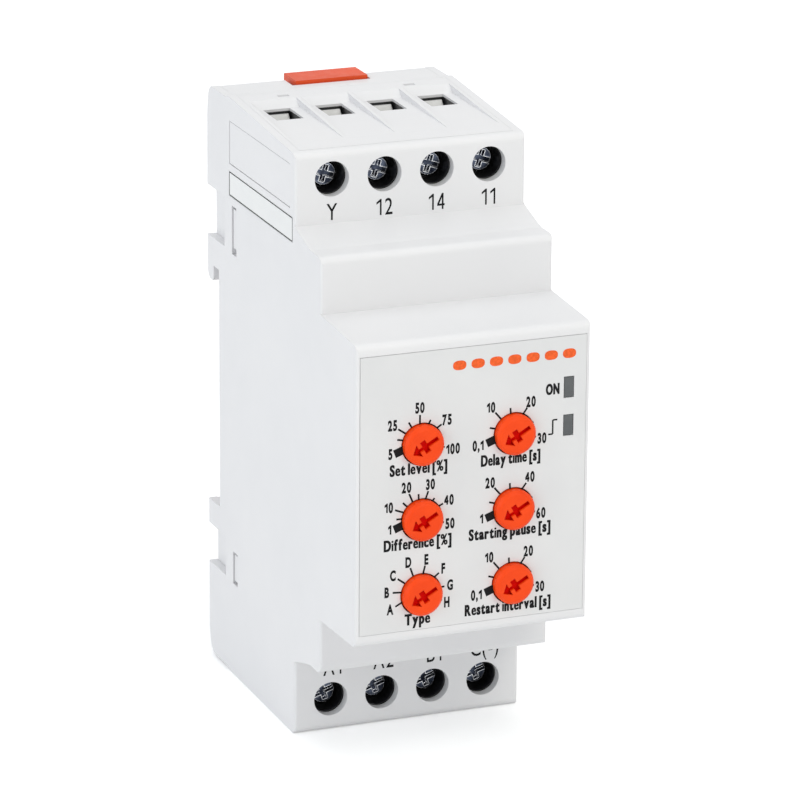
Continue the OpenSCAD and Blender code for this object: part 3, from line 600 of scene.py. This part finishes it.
def flatLetter(letter, weight):
    # the outline of one of Blender's own letters, filled, in the font's own units
    curve = bpy.data.curves.new("lettering", "FONT")
    curve.body = letter
    curve.resolution_u = letterSteps
    curve.offset = weight
    holder = bpy.data.objects.new("lettering", curve)
    bpy.context.collection.objects.link(holder)
    flat = bpy.data.meshes.new_from_object(holder.evaluated_get(bpy.context.evaluated_depsgraph_get()))
    bpy.data.objects.remove(holder)
    bpy.data.curves.remove(curve)
    points = [(v.co.x, v.co.y) for v in flat.vertices]
    faces = [tuple(p.vertices) for p in flat.polygons]
    bpy.data.meshes.remove(flat)
    return points, faces


capital = max(y for x, y in flatLetter("H", 0)[0])


def flaggedOne(thick):
    # an upright with a flag, from the foot to the top
    stem = 0.30
    points = [(stem, 0), (stem + thick, 0), (stem + thick, 1), (stem + thick * 0.25, 1),
              (0, 0.80), (0, 0.80 - thick * 0.95), (stem, 0.98 - thick * 1.15)]
    return points, [tuple(range(7))]


def openFour(thick):
    # stem, bar on both sides of it, and slope, edge to edge round an open middle
    stem, foot, toe = 0.40, 0.22, 0.10
    top = foot + thick * 0.85
    slope = (1 - top) / stem
    wide = thick * 1.15
    shapes = [
        [(stem, 0), (stem + thick, 0), (stem + thick, 1), (stem, 1)],
        [(0, foot), (stem, foot), (stem, top), (0, top)],
        [(stem + thick, foot), (stem + thick + toe, foot), (stem + thick + toe, top), (stem + thick, top)],
        [(0, top), (wide, top), (stem, 1 - wide * slope), (stem, 1)],
    ]
    points = [point for shape in shapes for point in shape]
    return points, [tuple(range(first, first + 4)) for first in range(0, len(points), 4)]


ownLetters = {"1": flaggedOne, "4": openFour}  # drawn here instead of taken from the font
ownStroke = 0.13  # how thick their strokes are without weight


def letterShape(letter, weight):
    # one letter with its left edge at nothing and capitals one unit high
    if (letter, weight) not in letterCase:
        if letter in ownLetters:
            points, faces = ownLetters[letter](ownStroke + 2 * weight)
        else:
            points, faces = flatLetter(letter, weight * thinLetters.get(letter, 1) * capital)
            points = [(x / capital, y / capital) for x, y in points]
        left = min(x for x, y in points)
        points = [(x - left, y) for x, y in points]
        letterCase[(letter, weight)] = (points, faces, max(x for x, y in points))
    return letterCase[(letter, weight)]


def glyphs(text, weight, gap):
    # letters side by side, centred across, standing on nothing
    points, faces, place = [], [], 0.0
    for letter in text:
        if letter == " ":
            place += letterSpace["blank"]
            continue
        shape, cells, wide = letterShape(letter, weight)
        start = len(points)
        points += [(x + place, y) for x, y in shape]
        faces += [tuple(start + i for i in cell) for cell in cells]
        place += wide + gap
    wide = place - gap
    return [(x - wide / 2, y) for x, y in points], faces, wide


inkLift = 0.012  # millimetres that ink stands above its face
strikeLift = 0.004  # and how much further out a second strike of the same letters stands


def onFront(depth):
    # a face that looks to the front: from millimetres across, up and out to the relay's metres
    return lambda x, z, lift=0: (x * mm, depth - (inkLift + lift) * mm, z * mm)


def onSide(depth):
    # a face that looks to the left
    return lambda y, z, lift=0: (depth - (inkLift + lift) * mm, y * mm, z * mm)


class Print:
    # collects the ink shapes of one face and makes one piece of them
    def __init__(self, name, ink, surface):
        self.name = name
        self.ink = ink
        self.surface = surface
        self.points = []
        self.faces = []

    def add(self, points, faces):
        start = len(self.points)
        self.points += points
        self.faces += [tuple(start + i for i in face) for face in faces]

    def word(self, text, across, up, height, narrow=0.8, weight=0.0, wide=None, strikes=(0,),
             gap=letterSpace["gap"]):
        # "wide" gives the whole word's width instead of a letter proportion
        points, faces, width = glyphs(text, weight, gap)
        pull = wide / width if wide else height * narrow
        for i, strike in enumerate(strikes):
            self.add([(across + x * pull + strike, up + (y - 0.5) * height, i * strikeLift)
                      for x, y in points], faces)

    def shape(self, outline):
        self.add(list(outline), [tuple(range(len(outline)))])

    def stroke(self, start, end, width):
        along = Vector(end) - Vector(start)
        side = Vector((-along.y, along.x)).normalized() * width / 2
        a, b = Vector(start), Vector(end)
        self.shape([tuple(a - side), tuple(b - side), tuple(b + side), tuple(a + side)])

    def path(self, corners, width):
        for start, end in zip(corners, corners[1:]):
            self.stroke(start, end, width)

    def finish(self):
        mesh = bpy.data.meshes.new(self.name)
        mesh.from_pydata([self.surface(*point) for point in self.points], [], self.faces)
        mesh.materials.append(self.ink)
        piece = bpy.data.objects.new(self.name, mesh)
        bpy.context.collection.objects.link(piece)
        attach(piece, "housing")


# ticks run from "inner" to "long" or "short"; numbers stand "number" from the middle of their ring, and
# those of two or three letters "further" out; "bar" holds the bar's two ends and its width
scaleLook = {
    "shift": (-0.4, 0.4), "tick": 0.28, "inner": 2.6, "long": 4.0, "short": 3.5,
    "numberShift": (-0.42, 0.45), "number": 4.88, "further": {1: 0, 2: 0.12, 3: 0.5},
    "height": 1.42, "narrow": 0.60, "weight": 0.072,
    "bar": (2.6, 4.1, 1.25), "barAngle": 200.5, "firstAngle": 198,
    "legendHeight": 1.58, "legendWeight": 0.048, "legendStrikes": (-0.05, 0.05),
}

# each scale: its knob, its legend as (words, place, width), the number at the bar as (number, distance),
# and its marks as (angle, number or None), where only numbered marks are long
scales = [
    {"knob": "knob_level", "legend": ("Set level [%]", (-8.4, 48.6), 8.7), "first": ("5", 4.67),
     "marks": [(169, None), (146, "25"), (119, None), (90, "50"), (62, None), (34, "75"), (8, None),
               (342, "100")]},
    {"knob": "knob_trip", "legend": ("Delay time [s]", (5.75, 48.5), 9.1), "first": ("0,1", 5.4),
     "marks": [(166, None), (130, "10"), (94, None), (54, "20"), (16, None), (341, "30")]},
    {"knob": "knob_hysteresis", "legend": ("Difference [%]", (-8.45, 37.4), 10.3), "first": ("1", 4.7),
     "marks": [(179, None), (158, "10"), (136, None), (113, "20"), (92, None), (70, "30"), (48, None),
               (24, "40"), (2, None), (342, "50")]},
    {"knob": "knob_inhibit", "legend": ("Starting pause [s]", (5.75, 37.5), 12.6), "first": ("1", 4.7),
     "marks": [(164, None), (130, "20"), (93, None), (54, "40"), (16, None), (341, "60")]},
    {"knob": "knob_reset", "legend": ("Restart interval [s]", (5.6, 26.1), 13.3), "first": ("0,1", 5.4),
     "marks": [(163, None), (130, "10"), (93, None), (55, "20"), (16, None), (342, "30")]},
    {"knob": "knob_mode", "legend": ("Type", (-8.4, 25.85), 3.85), "first": None,
     "marks": [(207, "A"), (175, "B"), (144, "C"), (109, "D"), (76, "E"), (39, "F"), (5, "G"),
               (334, "H")]},
]


def around(centre, angle, radius):
    turn = math.radians(angle)
    return (centre[0] + radius * math.cos(turn), centre[1] + radius * math.sin(turn))


def printScale(sheet, scale, look):
    x, z = knobCentre(scale["knob"])
    centre = (x / mm + look["shift"][0], z / mm + look["shift"][1])
    ring = (x / mm + look["numberShift"][0], z / mm + look["numberShift"][1])
    for angle, text in scale["marks"]:
        reach = look["long"] if text else look["short"]
        sheet.stroke(around(centre, angle, look["inner"]), around(centre, angle, reach), look["tick"])
        if text:
            across, up = around(ring, angle, look["number"] + look["further"][len(text)])
            sheet.word(text, across, up, look["height"], look["narrow"], look["weight"])
    if scale["first"]:
        near, far, width = look["bar"]
        sheet.stroke(around(centre, look["barAngle"], near), around(centre, look["barAngle"], far), width)
        text, reach = scale["first"]
        across, up = around(ring, look["firstAngle"], reach)
        sheet.word(text, across, up, look["height"], look["narrow"], look["weight"])
    words, (across, up), wide = scale["legend"]
    sheet.word(words, across, up, look["legendHeight"], weight=look["legendWeight"], wide=wide,
               strikes=look["legendStrikes"])


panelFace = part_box("dial_panel")[0].y
panelPrint = Print("panelPrint", blackInk, onFront(panelFace))
for scale in scales:
    printScale(panelPrint, scale, scaleLook)

# lamp marks: a word and a step sign, each left of its window
lampMarks = {
    "word": "ON", "wordAt": (12.1, 58.1), "height": 1.48, "wide": 2.05, "weight": 0.06,
    "strikes": (-0.04, 0.04), "stepAt": (12.2, 52.4), "stepSize": (0.70, 1.05), "stepLine": 0.24,
}
panelPrint.word(lampMarks["word"], *lampMarks["wordAt"], lampMarks["height"],
                weight=lampMarks["weight"], wide=lampMarks["wide"], strikes=lampMarks["strikes"])
stepX, stepZ = lampMarks["stepAt"]
stepW, stepH = lampMarks["stepSize"]
panelPrint.path([(stepX - stepW, stepZ - stepH), (stepX, stepZ - stepH), (stepX, stepZ + stepH),
                 (stepX + stepW, stepZ + stepH)], lampMarks["stepLine"])
panelPrint.finish()

# a row of plain ovals under the panel's upper edge; a "fullness" under one makes them fuller than ellipses
ovalRow = {
    "count": 7, "first": -2.26, "pitch": 2.813, "up": 63.2, "size": (2.05, 1.42), "fullness": 0.8,
    "points": 28,
}


def ovalOutline(look, across):
    outline = []
    for k in range(look["points"]):
        turn = 2 * math.pi * k / look["points"]
        x, z = (math.copysign(abs(part) ** look["fullness"], part)
                for part in (math.cos(turn), math.sin(turn)))
        outline.append((across + look["size"][0] / 2 * x, look["up"] + look["size"][1] / 2 * z))
    return outline


ovalPrint = Print("ovalRow", orangeInk, onFront(panelFace))
for i in range(ovalRow["count"]):
    ovalPrint.shape(ovalOutline(ovalRow, ovalRow["first"] + i * ovalRow["pitch"]))
ovalPrint.finish()

# marks beside the terminals, the upper under their screws and the lower over theirs, moved by "shift"
terminalMarks = {
    "height": 2.42, "narrow": 0.74, "weight": 0.008, "numberGap": 0.30, "frontDown": 9,
    "ends": {
        "t": {"marks": ("Y", "12", "14", "11"), "up": 80.1, "shift": 0},
        "b": {"marks": ("A1", "A2", "B1", "C(-)"), "up": 9.98, "shift": 0.25},
    },
}


def terminalFront(down):
    # the plane that the wells open in is the foremost one of the shell's uppermost stretch
    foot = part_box("housing_shell")[1].z - down * mm
    return min(v.co.y for v in nodes["housing_shell"].data.vertices if v.co.z > foot)


terminalPrint = Print("terminalNumbers", blackInk, onFront(terminalFront(terminalMarks["frontDown"])))
for end, row in terminalMarks["ends"].items():
    for i, mark in enumerate(row["marks"]):
        low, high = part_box("terminal_screw_" + end + str(i + 1))
        terminalPrint.word(mark, (low.x + high.x) / 2 / mm + row["shift"], row["up"],
                           terminalMarks["height"], terminalMarks["narrow"], terminalMarks["weight"],
                           gap=terminalMarks["numberGap"] if mark.isdigit() else letterSpace["gap"])
terminalPrint.finish()

# thin printed frame round the bare side label
labelFrame = {"line": 0.17, "inset": 0.12}
labelLow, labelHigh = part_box("side_label")
framePrint = Print("labelFrame", blackInk, onSide(labelLow.x))
frontY, rearY = labelLow.y / mm + labelFrame["inset"], labelHigh.y / mm - labelFrame["inset"]
lowZ, highZ = labelLow.z / mm + labelFrame["inset"], labelHigh.z / mm - labelFrame["inset"]
framePrint.path([(frontY, lowZ), (rearY, lowZ), (rearY, highZ), (frontY, highZ), (frontY, lowZ)],
                labelFrame["line"])
framePrint.finish()

print("relay dressed")
